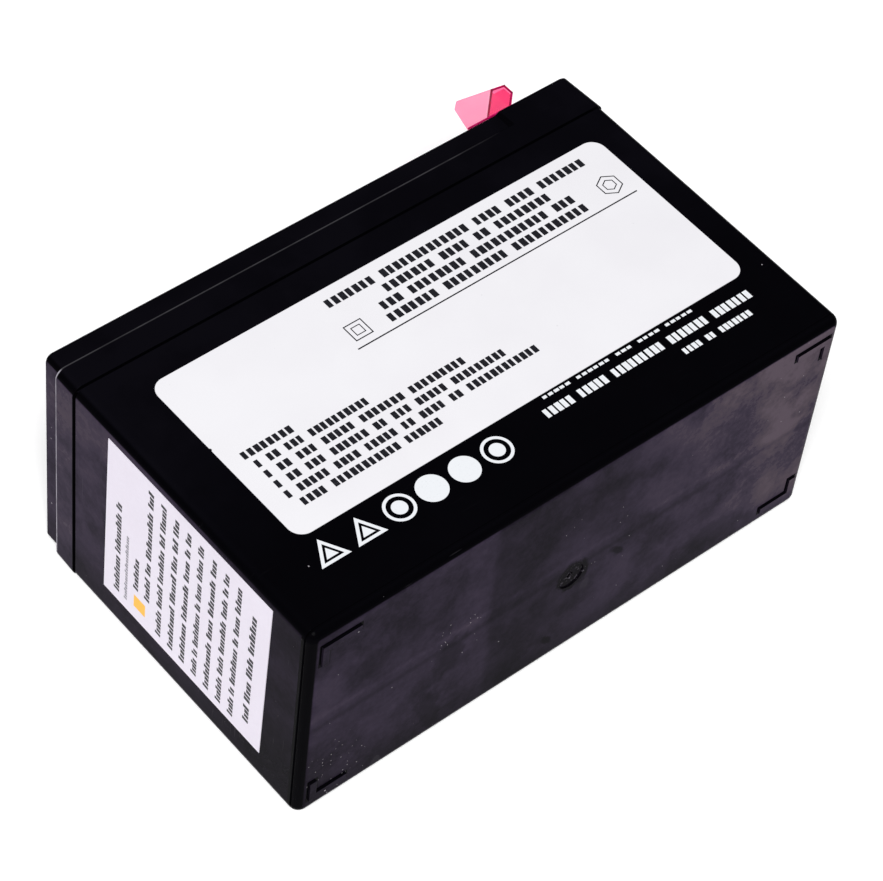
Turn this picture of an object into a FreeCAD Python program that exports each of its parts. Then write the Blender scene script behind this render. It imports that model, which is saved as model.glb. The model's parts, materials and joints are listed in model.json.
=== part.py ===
import FreeCAD, Part
import os
from FreeCAD import Vector, Placement, Rotation

os.makedirs("parts", exist_ok=True)

# Sealed lead-acid block battery, 12 volt, lying on its broad back face.
# X runs along the length, Y from the feet towards the lid and the blades,
# Z straight up from the resting face to the labelled face. All in millimetres.

# container
length = 151.0              # over the lid skirt
depth = 65.0                # over the lid skirt
height = 94.0               # feet to lid top
skirt_overhang = 0.3        # skirt stands proud of the walls at the ends and front
foot_height = 0.5
lid_height = 12.7           # from the shoulder of the walls to the lid top
wall = 2.3
floor_thickness = 2.5
partition = 1.6
cells = 6
tongue_height = 2.2         # thin top rim that the lid covers
tongue_inset = 0.9
edge_radius = 2.6           # every outer edge but the rim
groove_height = 1.9         # fine line round the walls above the base
groove_width = 0.5
groove_depth = 0.3
groove_corner = 1.8         # the line cuts across the rounded uprights

# feet and moulding gate under the base
foot_long = 10.2
foot_short = 6.4
foot_width = 1.8
foot_margin_end = 3.0
foot_margin_side = 4.5
gate_offset = 4.3           # gate lies this far from the middle, towards the back
gate_radius = 3.6
gate_depth = 0.3
gate_pip_radius = 0.8
gate_pip_height = 0.2

# lid
seam_gap = 0.5              # open line between shoulder and skirt
cement = 0.5                # bead on top of the rim and the partitions
tongue_clearance = 0.15
band_height = 5.6           # upper band above the skirt band
end_draft = 0.45
front_draft = 0.25
lid_corner_radius = 2.6
step_front = 0.8            # upper band set back from the skirt band
step_end = 1.0
step_back = 1.0
block_length = 20.0         # last stretch of the lid, full width to the top
ramp = 2.6                  # sloping run-out of the step
top_edge = 0.4
lid_plate = 2.5             # plate over the cells
lid_roof = 2.2              # skin over the hollows
hollow_margin = 2.0         # lid left standing round each hollow
hollow_front = 4.0
corner = 2.0

# vent chamber, necks and rubber valves
chamber_end = 6.5           # lid left at each end of the chamber
chamber_back = 9.0
chamber_wall = 3.0          # between the chamber and the blade wells
cover_rim = 1.5             # width of the ledge that carries the cover
cover_thickness = 1.6
cover_clearance = 0.2
neck_radius = 2.7
neck_bore = 1.2
neck_height = 4.0
valve_radius = 3.8
valve_clearance = 0.3
slit_length = 8.0
slit_width = 1.0
slit_inset = 3.0            # slits lie this far inside the chamber

# blades, wells and seals
blade_inset = 15.8          # blade centre from the end of the lid
blade_width = 6.35
blade_thickness = 0.8
blade_stand = 6.0           # above the lid top
blade_hole = 0.9
blade_hole_drop = 3.2
blade_chamfer = 1.0
tag_length = 8.0            # foot of the blade, lying on the post
tag_width = 8.6
terminal_inset = 14.5       # blade centre from the labelled face
post_offset = 4.5           # post centre beyond the blade
post_radius = 3.4
post_clearance = 0.3
post_stand = 1.4            # post top above the well floor
well_before = 3.5           # well edges from the blade, inwards and outwards
well_after = 9.5
well_half = 6.5
well_depth = 6.0
well_corner = 1.0
seal_thickness = 2.9

# insulating guard pushed over one blade
guard_wall = 0.6
guard_inner = 1.85          # outer faces from the blade centre
guard_outer = 1.8
guard_back = 4.9
guard_open = 1.9            # beyond this the inner side is open
guard_step = 6.1
guard_rise = 1.2            # peak above the blade tip
guard_slope = 0.6
guard_rim_gap = 0.3         # lower rim above the lid top
visor_rim_gap = 3.5         # lower rim of the part that reaches forward
guard_front_gap = 1.5       # short of the labelled face
flap_thickness = 0.5
flap_reach = 14.6           # foot of the flap from the blade
flap_tip_reach = 11.0
flap_tip_rise = 2.85
flap_side_reach = 12.8      # left side of the flap, and how far it stands up
flap_side_rise = 1.3
flap_corner = 0.7

# plates and straps in each cell
positives = 4
positive_thickness = 2.2
negative_thickness = 1.5
plate_side_gap = 1.55       # room for the mat beside the plates
plate_bottom_gap = 1.0
mat_overlap = 1.2           # mat stands above the plates
lug_width = 8.0
lug_length = 4.0
strap_thickness = 4.0
strap_drop = 6.0            # strap top below the lid plate
strap_width = 9.0
tab_thickness = 3.0
tab_width = 12.0
tab_gap = 1.6               # below the lid plate
link_radius = 1.8
link_clearance = 0.2

# labels
label_thickness = 0.15
front_label_left = 13.6     # margins to the edges of the walls
front_label_right = 8.7
front_label_bottom = 22.2
front_label_top = 7.3
front_label_radius = 3.6
front_label_turn = 0.3      # stuck on slightly crooked, degrees
end_label_back = 9.4
end_label_front = 3.4
end_label_bottom = 13.4
end_label_top = 11.1
end_label_slope = 1.0        # its front edge is cut this much lower

bite = 0.5                  # overlap of shapes that are fused
over = 1.0                  # overshoot of cutting shapes

# values that follow
case_length = length - 2 * skirt_overhang
case_depth = depth - skirt_overhang
mid_z = case_depth / 2
gate_z = mid_z - gate_offset
y_feet = -height / 2
y_base = y_feet + foot_height
y_floor = y_base + floor_thickness
y_top = height / 2
y_shoulder = y_top - lid_height
y_rim = y_shoulder + tongue_height
y_skirt = y_shoulder + seam_gap
y_slab = y_rim + cement     # underside of the lid plate
y_ledge = y_top - band_height
inner_half = case_length / 2 - wall
cell_width = (2 * inner_half - (cells - 1) * partition) / cells
pitch = cell_width + partition

blade_x = length / 2 - blade_inset
terminal_z = depth - terminal_inset
post_x = blade_x + post_offset
y_blade = y_top + blade_stand
y_well = y_top - well_depth
y_post = y_well + post_stand
well_start = blade_x - well_before
well_end = blade_x + well_after
well_low = terminal_z - well_half
well_high = terminal_z + well_half

chamber_half = length / 2 - chamber_end
chamber_high = well_low - chamber_wall
chamber_floor = y_slab + lid_plate
neck_z = (chamber_back + chamber_high) / 2
y_cover = y_top - cover_thickness

negatives = positives + 1
mats = positives + negatives - 1
plates = positives * positive_thickness + negatives * negative_thickness
mat = (cell_width - plates) / mats
plate_low = wall + plate_side_gap
plate_high = case_depth - plate_low
strap_top = y_slab - strap_drop
strap_bottom = strap_top - strap_thickness
y_plate = y_floor + plate_bottom_gap
y_plate_top = strap_bottom - lug_length
tab_top = y_slab - tab_gap
link_y = (strap_bottom + tab_top) / 2
lug_offset = terminal_z - mid_z


def cell_centre(index):
    return (index - (cells - 1) / 2) * pitch


def box(x0, x1, y0, y1, z0, z1):
    return Part.makeBox(x1 - x0, y1 - y0, z1 - z0, Vector(x0, y0, z0))


def rod(x, z, radius, y0, y1):
    return Part.makeCylinder(radius, y1 - y0, Vector(x, y0, z), Vector(0, 1, 0))


def along(edge, axis):
    step = edge.Vertexes[-1].Point - edge.Vertexes[0].Point
    return len(edge.Vertexes) == 2 and abs(step.normalize().dot(axis)) > 0.99


def rounded(x0, x1, y0, y1, z0, z1, radius, axis=Vector(0, 1, 0)):
    block = box(x0, x1, y0, y1, z0, z1)
    return block.makeFillet(radius, [e for e in block.Edges if along(e, axis)])


def prism(points, start, run):
    wire = Part.makePolygon([Vector(*p) for p in points] + [Vector(*points[0])])
    solid = Part.Face(wire).extrude(Vector(*run))
    solid.translate(Vector(*start))
    return solid


def mirrored(shape):
    return shape.mirror(Vector(0, 0, 0), Vector(1, 0, 0))


def joined(shapes):
    whole = shapes[0].fuse(shapes[1:]) if len(shapes) > 1 else shapes[0]
    return whole.removeSplitter()


def save(name, shape):
    solid = shape.Solids[0] if len(shape.Solids) == 1 else shape
    if not solid.isValid() or len(shape.Solids) != 1:
        print("check", name, "solids", len(shape.Solids), "valid", solid.isValid())
    solid.exportStep("parts/%s.step" % name)


def wall_ring(inset_out, inset_in, y0, y1):
    # upright ring that follows the container walls
    half = case_length / 2
    outer = box(-half + inset_out, half - inset_out, y0, y1, inset_out, case_depth - inset_out)
    inner = box(-half + inset_in, half - inset_in, y0 - over, y1 + over, inset_in, case_depth - inset_in)
    return outer.cut(inner)


def corner_foot(side, face):
    # L of two low ribs, side -1 or 1 along X, face -1 or 1 along Z
    x = side * (case_length / 2 - foot_margin_end)
    z = mid_z + face * (mid_z - foot_margin_side)

    def rib(reach_x, reach_z):
        xs = sorted((x, x - side * reach_x))
        zs = sorted((z, z - face * reach_z))
        return box(xs[0], xs[1], y_feet, y_base + bite, zs[0], zs[1])
    return rib(foot_long, foot_width).fuse(rib(foot_width, foot_short)).removeSplitter()


# container
def container():
    body = box(-case_length / 2, case_length / 2, y_base, y_rim, 0, case_depth)
    rounds = [e for e in body.Edges if not all(abs(v.Y - y_rim) < 0.01 for v in e.Vertexes)]
    body = body.makeFillet(edge_radius, rounds)
    # thin rim under the lid
    body = body.cut(wall_ring(-over, tongue_inset, y_shoulder, y_rim + over))
    # fine line round the foot of the walls
    line = y_base + groove_height
    half = case_length / 2
    band = box(-half - over, half + over, line, line + groove_width, -over, case_depth + over)
    core = box(-half + groove_depth, half - groove_depth, line - over, line + groove_width + over,
               groove_depth, case_depth - groove_depth)
    core = core.makeChamfer(groove_corner, [e for e in core.Edges if along(e, Vector(0, 1, 0))])
    body = body.cut(band.cut(core))
    # the cells, with the walls between them left standing
    for index in range(cells):
        x = cell_centre(index)
        body = body.cut(box(x - cell_width / 2, x + cell_width / 2, y_floor, y_rim + over,
                            wall, case_depth - wall))
    # weld holes through the partitions, low and high by turns
    for index in range(cells - 1):
        x = cell_centre(index) + cell_width / 2
        at = Vector(x - over, link_y, lug_side(index, "positive"))
        hole = Part.makeCylinder(link_radius + link_clearance, partition + 2 * over, at, Vector(1, 0, 0))
        body = body.cut(hole)
    for side in (-1, 1):
        for face in (-1, 1):
            body = body.fuse(corner_foot(side, face))
    # shallow round gate mark
    body = body.cut(rod(0, gate_z, gate_radius, y_base - over, y_base + gate_depth))
    body = body.fuse(rod(0, gate_z, gate_pip_radius, y_base + gate_depth - gate_pip_height, y_base + bite))
    return body.removeSplitter()


def cement_bead():
    parts = [wall_ring(tongue_inset, wall, y_rim, y_slab)]
    for index in range(cells - 1):
        x = cell_centre(index) + cell_width / 2
        parts.append(box(x, x + partition, y_rim, y_slab, wall - bite, case_depth - wall + bite))
    return joined(parts)


# lid
def lid_outline():
    # skirt and top as one block, narrowing slightly towards the top
    half = length / 2
    block = Part.makeWedge(-half, y_skirt, 0, 0, -half + end_draft,
                           half, y_top, depth, depth - front_draft, half - end_draft)
    uprights = [e for e in block.Edges
                if abs(e.Vertexes[0].Y - e.Vertexes[-1].Y) > top_edge]
    block = block.makeFillet(lid_corner_radius, uprights)
    # upper band set back on three sides, running out at the full-width block
    left = -half + end_draft + step_end
    front = depth - front_draft - step_front
    start = half - block_length
    core = prism([(left, 0, step_back), (start - ramp, 0, step_back), (start, 0, -over),
                  (half + over, 0, -over), (half + over, 0, depth + over), (start, 0, depth + over),
                  (start - ramp, 0, front), (left, 0, front)],
                 (0, y_ledge, 0), (0, band_height + over, 0))
    corners = [e for e in core.Edges
               if along(e, Vector(0, 1, 0)) and abs(e.Vertexes[0].X - left) < 0.01]
    core = core.makeFillet(corner, corners)
    around = box(-half - over, half + over, y_ledge, y_top + over, -over, depth + over).cut(core)
    return block.cut(around)


def lid():
    body = lid_outline()
    rims = [e for e in body.Edges
            if all(abs(v.Y - y_top) < 0.01 for v in e.Vertexes) and e.BoundBox.YLength < 0.01]
    body = body.makeChamfer(top_edge, rims)
    # space over the cells, bounded by the skirt
    inset = tongue_inset - tongue_clearance
    body = body.cut(box(-case_length / 2 + inset, case_length / 2 - inset, y_skirt - over, y_slab,
                        inset, case_depth - inset))
    # chamber for the valves and the ledge for its cover
    body = body.cut(rounded(-chamber_half, chamber_half, chamber_floor, y_top + over,
                            chamber_back, chamber_high, corner))
    body = body.cut(rounded(-chamber_half - cover_rim, chamber_half + cover_rim, y_cover, y_top + over,
                            chamber_back - cover_rim, chamber_high + cover_rim, corner + cover_rim))
    # hollows from below, one to a cell so that the cells stay apart
    reach = cell_width / 2 - hollow_margin
    for index in range(1, cells - 1):
        x = cell_centre(index)
        body = body.cut(box(x - reach, x + reach, y_slab - over, y_top - lid_roof,
                            chamber_high + cover_rim + hollow_margin, depth - hollow_front))
    for index in range(cells):
        x = cell_centre(index)
        body = body.fuse(rod(x, neck_z, neck_radius, chamber_floor - bite, chamber_floor + neck_height))
        body = body.cut(rod(x, neck_z, neck_bore, y_slab - over, y_top))
    # blade wells and post holes
    well = rounded(well_start, well_end, y_well, y_top + over, well_low, well_high, well_corner)
    hole = rod(post_x, terminal_z, post_radius + post_clearance, y_slab - over, y_well + over)
    pocket = well.fuse(hole)
    return body.cut(pocket).cut(mirrored(pocket)).removeSplitter()


def vent_cover():
    edge = cover_rim - cover_clearance
    plate = rounded(-chamber_half - edge, chamber_half + edge, y_cover, y_top,
                    chamber_back - edge, chamber_high + edge, corner + edge)
    slit_z = chamber_high - slit_inset
    for index in range(cells):
        x = cell_centre(index)
        plate = plate.cut(box(x - slit_length / 2, x + slit_length / 2, y_cover - over, y_top + over,
                              slit_z - slit_width, slit_z))
    return plate


def valve(index):
    x = cell_centre(index)
    cup = rod(x, neck_z, valve_radius, chamber_floor, y_cover)
    hollow = rod(x, neck_z, neck_radius + valve_clearance, chamber_floor - over, chamber_floor + neck_height)
    return cup.cut(hollow)


# blades
def blade():
    low, high = terminal_z - blade_width / 2, terminal_z + blade_width / 2
    left = blade_x - blade_thickness / 2
    shoulder = y_blade - blade_chamfer
    flat = prism([(left, y_post, low), (left, shoulder, low), (left, y_blade, low + blade_chamfer),
                  (left, y_blade, high - blade_chamfer), (left, shoulder, high), (left, y_post, high)],
                 (0, 0, 0), (blade_thickness, 0, 0))
    tag = box(left, left + tag_length, y_post, y_post + blade_thickness,
              terminal_z - tag_width / 2, terminal_z + tag_width / 2)
    hole = Part.makeCylinder(blade_hole, blade_thickness + 2 * over,
                             Vector(left - over, y_blade - blade_hole_drop, terminal_z), Vector(1, 0, 0))
    return flat.fuse(tag).cut(hole).removeSplitter()


def seal(metal):
    block = rounded(well_start, well_end, y_well, y_well + seal_thickness, well_low, well_high, well_corner)
    post = rod(post_x, terminal_z, post_radius, y_well - over, y_post)
    return block.cut(post).cut(metal)


def guard():
    left, right = blade_x - guard_inner, blade_x + guard_outer
    peak = y_blade + guard_rise
    rim = y_top + guard_rim_gap
    visor_rim = y_top + visor_rim_gap
    back, step = terminal_z - guard_back, terminal_z + guard_step
    opening = terminal_z + guard_open
    front = depth - guard_front_gap
    face = front - flap_thickness
    t = guard_wall

    def outer(low, z0, z1):
        return prism([(left, low, z0), (left, peak, z0), (right, peak - guard_slope, z0), (right, low, z0)],
                     (0, 0, 0), (0, 0, z1 - z0))
    hood = outer(rim, back, step).fuse(outer(visor_rim, step, front))
    hood = hood.cut(box(left + t, right - t, rim - over, y_blade, back + t, opening))
    hood = hood.cut(box(left - over, right - t, rim - over, y_blade, opening, face))
    # front sheet, closing the hood and reaching out as the pull flap
    tip = (blade_x - flap_tip_reach, y_blade + flap_tip_rise, face)
    side = (blade_x - flap_side_reach, y_blade + flap_side_rise, face)
    sheet = prism([(right, visor_rim, face), (right, peak - guard_slope, face), (left, peak, face), tip, side,
                   (blade_x - flap_reach, rim, face), (right - (visor_rim - rim), rim, face)],
                  (0, 0, 0), (0, 0, flap_thickness))
    corners = [e for e in sheet.Edges if along(e, Vector(0, 0, 1))
               and any(abs(e.Vertexes[0].X - p[0]) + abs(e.Vertexes[0].Y - p[1]) < 0.01 for p in (tip, side))]
    return joined([hood, sheet.makeFillet(flap_corner, corners)])


# plates
def plate_spans(index):
    # X spans of the plates and mats of one cell, outer plates negative
    x = cell_centre(index) - cell_width / 2
    spans = {"negative": [], "positive": [], "mat": []}
    for place in range(positives + negatives):
        kind = "negative" if place % 2 == 0 else "positive"
        thick = negative_thickness if kind == "negative" else positive_thickness
        spans[kind].append((x, x + thick))
        x += thick
        if place < mats:
            spans["mat"].append((x, x + mat))
            x += mat
    return spans


def lug_side(index, kind):
    # lugs of one kind sit high in one cell and low in the next
    high = (index % 2 == 0) == (kind == "negative")
    return mid_z + (lug_offset if high else -lug_offset)


def plate_group(index, kind):
    spans = plate_spans(index)[kind]
    z = lug_side(index, kind)
    parts = []
    lug_low, lug_high = z - lug_width / 2, z + lug_width / 2
    tab_low, tab_high = z - tab_width / 2, z + tab_width / 2
    for x0, x1 in spans:
        parts.append(box(x0, x1, y_plate, y_plate_top, plate_low, plate_high))
        parts.append(box(x0, x1, y_plate_top - bite, strap_bottom + bite, lug_low, lug_high))
    left = cell_centre(index) - cell_width / 2
    right = left + cell_width
    start, stop = spans[0][0], spans[-1][1]
    if kind == "positive" and index < cells - 1:
        stop = right
        parts.append(box(right - tab_thickness, right, strap_bottom, tab_top, tab_low, tab_high))
    elif kind == "negative" and index > 0:
        parts.append(box(left, left + tab_thickness, strap_bottom, tab_top, tab_low, tab_high))
    else:
        side = 1 if kind == "positive" else -1
        parts.append(rod(side * post_x, z, post_radius, strap_top - bite, y_post))
    parts.append(box(start, stop, strap_bottom, strap_top, z - strap_width / 2, z + strap_width / 2))
    return joined(parts)


def separator_mat(index):
    # one glass mat folded back and forth round the plate edges
    spans = plate_spans(index)["mat"]
    top = y_plate_top + mat_overlap
    parts = []
    for place, (x0, x1) in enumerate(spans):
        parts.append(box(x0, x1, y_floor, top, plate_low - mat, plate_high + mat))
        if place < mats - 1:
            stop = spans[place + 1][1]
            start = plate_high if place % 2 == 0 else plate_low - mat
            parts.append(box(x0, stop, y_floor, top, start, start + mat))
    return joined(parts)


def weld_link(index):
    x = cell_centre(index) + cell_width / 2
    z = lug_side(index, "positive")
    return Part.makeCylinder(link_radius, partition, Vector(x, link_y, z), Vector(1, 0, 0))


# labels
def front_label():
    left, right = -case_length / 2 + front_label_left, case_length / 2 - front_label_right
    low, high = y_base + front_label_bottom, y_shoulder - front_label_top
    sheet = rounded(left, right, low, high, case_depth, case_depth + label_thickness,
                    front_label_radius, Vector(0, 0, 1))
    sheet.rotate(Vector((left + right) / 2, (low + high) / 2, case_depth), Vector(0, 0, 1), front_label_turn)
    return sheet


def end_label():
    face = -case_length / 2
    low, high = y_base + end_label_bottom, y_shoulder - end_label_top
    back, front = end_label_back, case_depth - end_label_front
    return prism([(face, low, back), (face, low - end_label_slope, front),
                  (face, high - end_label_slope, front), (face, high, back)],
                 (0, 0, 0), (-label_thickness, 0, 0))


save("case", container())
save("lid_cement", cement_bead())
save("lid", lid())
save("vent_cover", vent_cover())
for cell in range(cells):
    save("valve_%d" % (cell + 1), valve(cell))
    save("positive_group_%d" % (cell + 1), plate_group(cell, "positive"))
    save("negative_group_%d" % (cell + 1), plate_group(cell, "negative"))
    save("separator_%d" % (cell + 1), separator_mat(cell))
    if cell < cells - 1:
        save("cell_link_%d" % (cell + 1), weld_link(cell))
metal = blade()
save("positive_blade", metal)
save("negative_blade", mirrored(metal))
save("positive_seal", seal(metal))
save("negative_seal", mirrored(seal(metal)))
save("terminal_guard", guard())
save("front_label", front_label())
save("end_label", end_label())
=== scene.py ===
import json
import math

import bmesh
import bpy
from mathutils import Matrix, Vector


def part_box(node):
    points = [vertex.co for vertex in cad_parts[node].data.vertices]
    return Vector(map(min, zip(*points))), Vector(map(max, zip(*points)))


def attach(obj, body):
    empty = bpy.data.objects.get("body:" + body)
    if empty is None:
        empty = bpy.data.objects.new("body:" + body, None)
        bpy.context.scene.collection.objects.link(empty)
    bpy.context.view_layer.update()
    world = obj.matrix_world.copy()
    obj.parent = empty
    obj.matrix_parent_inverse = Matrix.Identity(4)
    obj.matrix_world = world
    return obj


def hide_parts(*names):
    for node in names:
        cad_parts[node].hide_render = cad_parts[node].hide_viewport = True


# Sealed battery block lying on its broad back face, labelled face up.
# Everything is in metres; prints are laid out in millimetres and scaled once.

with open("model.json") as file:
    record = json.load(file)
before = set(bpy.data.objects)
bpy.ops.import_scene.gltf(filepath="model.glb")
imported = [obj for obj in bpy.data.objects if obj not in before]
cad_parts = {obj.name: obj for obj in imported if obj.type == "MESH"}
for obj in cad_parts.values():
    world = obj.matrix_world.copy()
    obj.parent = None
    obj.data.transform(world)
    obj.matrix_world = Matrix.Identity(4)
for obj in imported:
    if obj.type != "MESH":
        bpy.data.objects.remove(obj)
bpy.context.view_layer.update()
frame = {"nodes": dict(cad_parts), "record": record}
nodes = frame["nodes"]
mm = 0.001
bpy.context.scene.view_settings.view_transform = "Standard"
print("frame loaded:", len(nodes), "nodes")

view = {"place": (-0.34338, -0.33745, 0.60258), "turn": (39.782, -4.862, -39.819), "lens": 135.3}


def makeCamera():
    data = bpy.data.cameras.new("camera")
    data.lens = view["lens"]
    data.sensor_width = 36
    data.clip_start, data.clip_end = 0.02, 30
    camera = bpy.data.objects.new("camera", data)
    camera.location = view["place"]
    camera.rotation_euler = [math.radians(angle) for angle in view["turn"]]
    bpy.context.scene.collection.objects.link(camera)
    bpy.context.scene.camera = camera


class Tree:
    # short calls for adding and joining shader nodes

    def __init__(self, tree):
        self.tree = tree

    def add(self, kind, settings=None, **sockets):
        node = self.tree.nodes.new(kind)
        for name, value in (settings or {}).items():
            setattr(node, name, value)
        for name, value in sockets.items():
            self.feed(node, name, value)
        return node

    def feed(self, node, name, value):
        place = int(name[1:]) if name[0] == "i" and name[1:].isdigit() else name
        socket = node.inputs[place]
        if isinstance(value, bpy.types.NodeSocket):
            self.tree.links.new(value, socket)
        else:
            socket.default_value = value

    def math(self, operation, a, b=0.0, clamp=False):
        node = self.add("ShaderNodeMath", {"operation": operation, "use_clamp": clamp}, i0=a, i1=b)
        return node.outputs[0]

    def chain(self, operation, values):
        total = values[0]
        for value in values[1:]:
            total = self.math(operation, total, value)
        return total

    def times(self, *values):
        return self.chain("MULTIPLY", values)

    def plus(self, *values):
        return self.chain("ADD", values)

    def most(self, *values):
        return self.chain("MAXIMUM", values)

    def minus(self, a, b):
        return self.math("SUBTRACT", a, b)

    def away(self, value, centre):
        return self.math("ABSOLUTE", self.minus(value, centre))

    def centred(self, value):
        # a noise value of 0 to 1, moved to lie about nought
        return self.minus(value, 0.5)

    def vector(self, operation, a, b=(0, 0, 0)):
        node = self.add("ShaderNodeVectorMath", {"operation": operation}, i0=a, i1=b)
        return node.outputs["Value" if operation in ("LENGTH", "DOT_PRODUCT") else "Vector"]

    def distance(self, place, centre):
        return self.vector("LENGTH", self.vector("SUBTRACT", place, centre))

    def noise(self, vector, scale, detail=3.0, rough=0.5):
        node = self.add("ShaderNodeTexNoise", Vector=vector, Scale=scale, Detail=detail, Roughness=rough)
        return node.outputs["Fac"]

    def step(self, value, low, high, toLow=0.0, toHigh=1.0):
        node = self.add("ShaderNodeMapRange", {"interpolation_type": "SMOOTHSTEP"},
                        i0=value, i1=low, i2=high, i3=toLow, i4=toHigh)
        return node.outputs["Result"]

    def line(self, value, centre, half):
        # soft mask of a straight line where value passes centre
        return self.step(self.away(value, centre), half, 0.0)

    def spot(self, place, centre, radius, soft):
        # soft round mask about a point
        return self.step(self.distance(place, centre), radius + soft, radius)

    def blend(self, factor, a, b):
        node = self.add("ShaderNodeMix", {"data_type": "RGBA"}, i0=factor, i6=a, i7=b)
        return node.outputs[2]

    def oval(self, place, centre, size, turn=0.0):
        # distance from centre counted in half sizes of an oval turned about Y
        node = self.add("ShaderNodeMapping", {"vector_type": "TEXTURE"}, Vector=place, Location=centre,
                        Rotation=(0, math.radians(turn), 0), Scale=size)
        return self.vector("LENGTH", node.outputs[0])

    def stretched(self, vector, scale=(1, 1, 1), turn=(0, 0, 0), place=(0, 0, 0)):
        node = self.add("ShaderNodeMapping", Vector=vector, Scale=scale,
                        Rotation=[math.radians(angle) for angle in turn], Location=place)
        return node.outputs[0]

    def split(self, vector):
        return self.add("ShaderNodeSeparateXYZ", i0=vector).outputs


def newGroup(name, inputs, outputs):
    tree = bpy.data.node_groups.new(name, "ShaderNodeTree")
    for label, kind, value in inputs:
        socket = tree.interface.new_socket(name=label, in_out="INPUT", socket_type="NodeSocket" + kind)
        if value is not None:
            socket.default_value = value
    for label, kind in outputs:
        tree.interface.new_socket(name=label, in_out="OUTPUT", socket_type="NodeSocket" + kind)
    made = Tree(tree)
    return made, made.add("NodeGroupInput").outputs, made.add("NodeGroupOutput")


def useGroup(tree, group, **sockets):
    return tree.add("ShaderNodeGroup", {"node_tree": group.tree}, **sockets).outputs


def makeEdgeSoft():
    # rounds sharp moulded edges in the shading and marks where they are
    g, given, out = newGroup("edgeSoft", [("Radius", "Float", 0.0003)],
                             [("Normal", "Vector"), ("Edge", "Float")])
    bevel = g.add("ShaderNodeBevel", {"samples": 6}, Radius=given["Radius"]).outputs[0]
    flat = g.add("ShaderNodeNewGeometry").outputs["Normal"]
    g.feed(out, "Normal", bevel)
    g.feed(out, "Edge", g.step(g.vector("DOT_PRODUCT", bevel, flat), 0.995, 0.85))
    return g


def makeMouldGrain():
    # fine moulded grain, slow tone changes and wiped streaks
    g, given, out = newGroup("mouldGrain", [("Position", "Vector", None), ("Grain", "Float", 4200.0)],
                             [("Height", "Float"), ("Cloud", "Float"), ("Flow", "Float"), ("Fine", "Float")])
    place = given["Position"]
    g.feed(out, "Height", g.noise(place, given["Grain"], 2.0, 0.6))
    g.feed(out, "Cloud", g.step(g.noise(place, 46.0, 4.0, 0.55), 0.34, 0.68))
    along = g.stretched(place, (34, 9, 34), (0, 38, 24))
    g.feed(out, "Flow", g.step(g.noise(along, 2.2, 4.0, 0.6), 0.36, 0.68))
    g.feed(out, "Fine", g.step(g.noise(place, 620.0, 4.0, 0.7), 0.36, 0.66))
    return g


def makeHairlines():
    # sparse fine scratches in two directions
    g, given, out = newGroup("hairlines", [("Position", "Vector", None), ("Amount", "Float", 0.5)],
                             [("Mask", "Float")])
    found = []
    for turn, offset in ((32, 0.0), (-47, 0.7)):
        place = g.stretched(given["Position"], (90, 2600, 90), (turn, 0, turn), (offset, offset, offset))
        line = g.step(g.noise(place, 1.0, 1.0, 0.4), 0.72, 0.77)
        patch = g.step(g.noise(given["Position"], 55.0 + 20 * offset, 2.0), 0.52, 0.64)
        found.append(g.times(line, patch))
    g.feed(out, "Mask", g.times(g.most(*found), given["Amount"]))
    return g


def makeDust():
    # small pale specks, Amount says how thickly they lie
    g, given, out = newGroup("dust", [("Position", "Vector", None), ("Amount", "Float", 0.5),
                                      ("Size", "Float", 1500.0)], [("Mask", "Float")])
    cells = g.add("ShaderNodeTexVoronoi", {"feature": "F1"}, Vector=given["Position"],
                  Scale=given["Size"])
    tint = g.split(cells.outputs["Color"])
    reach = g.step(tint[1], 0.0, 1.0, 0.07, 0.24)
    speck = g.step(g.minus(reach, cells.outputs["Distance"]), 0.0, 0.06)
    kept = g.math("LESS_THAN", tint[0], given["Amount"])
    g.feed(out, "Mask", g.times(speck, kept, g.step(tint[2], 0.0, 1.0, 0.35, 1.0)))
    return g


edgeSoft = makeEdgeSoft()
mouldGrain = makeMouldGrain()
hairlines = makeHairlines()
dust = makeDust()
print("shared effects made")


def newMaterial(name):
    material = bpy.data.materials.new(name)
    material.use_nodes = True
    tree = Tree(material.node_tree)
    shader = material.node_tree.nodes["Principled BSDF"]
    return material, tree, shader


def objectPlace(tree):
    return tree.add("ShaderNodeTexCoord").outputs["Object"]


def bump(tree, height, strength, distance, normal=None):
    node = tree.add("ShaderNodeBump", Height=height, Strength=strength, Distance=distance)
    if normal is not None:
        tree.feed(node, "Normal", normal)
    return node.outputs[0]


shell = {
    "colour": (0.0011, 0.0010, 0.0016, 1),
    "thin": (0.080, 0.059, 0.106, 1),    # where the bloom lies thin
    "bloom": (0.084, 0.063, 0.082, 1),   # where it lies thick
    "sheen": (0.0032, 0.0029, 0.0046, 1),
    # pale colour of the painted highlight along the edges, also used for the scratches
    "highlightAndWear": (0.062, 0.058, 0.066, 1),
    "dust": (0.46, 0.43, 0.46, 1), "dustSize": 1000.0, "dustCover": 0.8,
    "plain": 0.42, "cloud": 0.46, "flow": 0.34, "fine": 0.09,  # what the mottling is made of
    "seams": ((0.03455, 0.00036), (-0.04435, 0.00098)),        # height and half width
    "seamSoft": 0.0002,
    "gloss": 0.20, "bloomGloss": 0.34, "dulled": 0.25,
    "scratches": 0.6, "scratchDull": 0.35, "scratchPolished": 0.03,
    "strewn": 0.020, "strewnPolished": 0.0012,                 # dust away from the crowded spots
    "edge": 0.00013, "lidEdge": 0.00028,
    "grain": 0.000004, "grainStrength": 0.5,
    "ior": 1.045,
}


def seamShadeMask(t, y):
    # painted shade: nought in the seam under the lid and in the line round the foot of the walls, which keeps
    # bloom, edge highlight, scratches and dust out so both show near black
    clear = 1.0
    for height, half in shell["seams"]:
        clear = t.times(t.step(t.away(y, height), half, half + shell["seamSoft"]), clear)
    return clear


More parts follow.
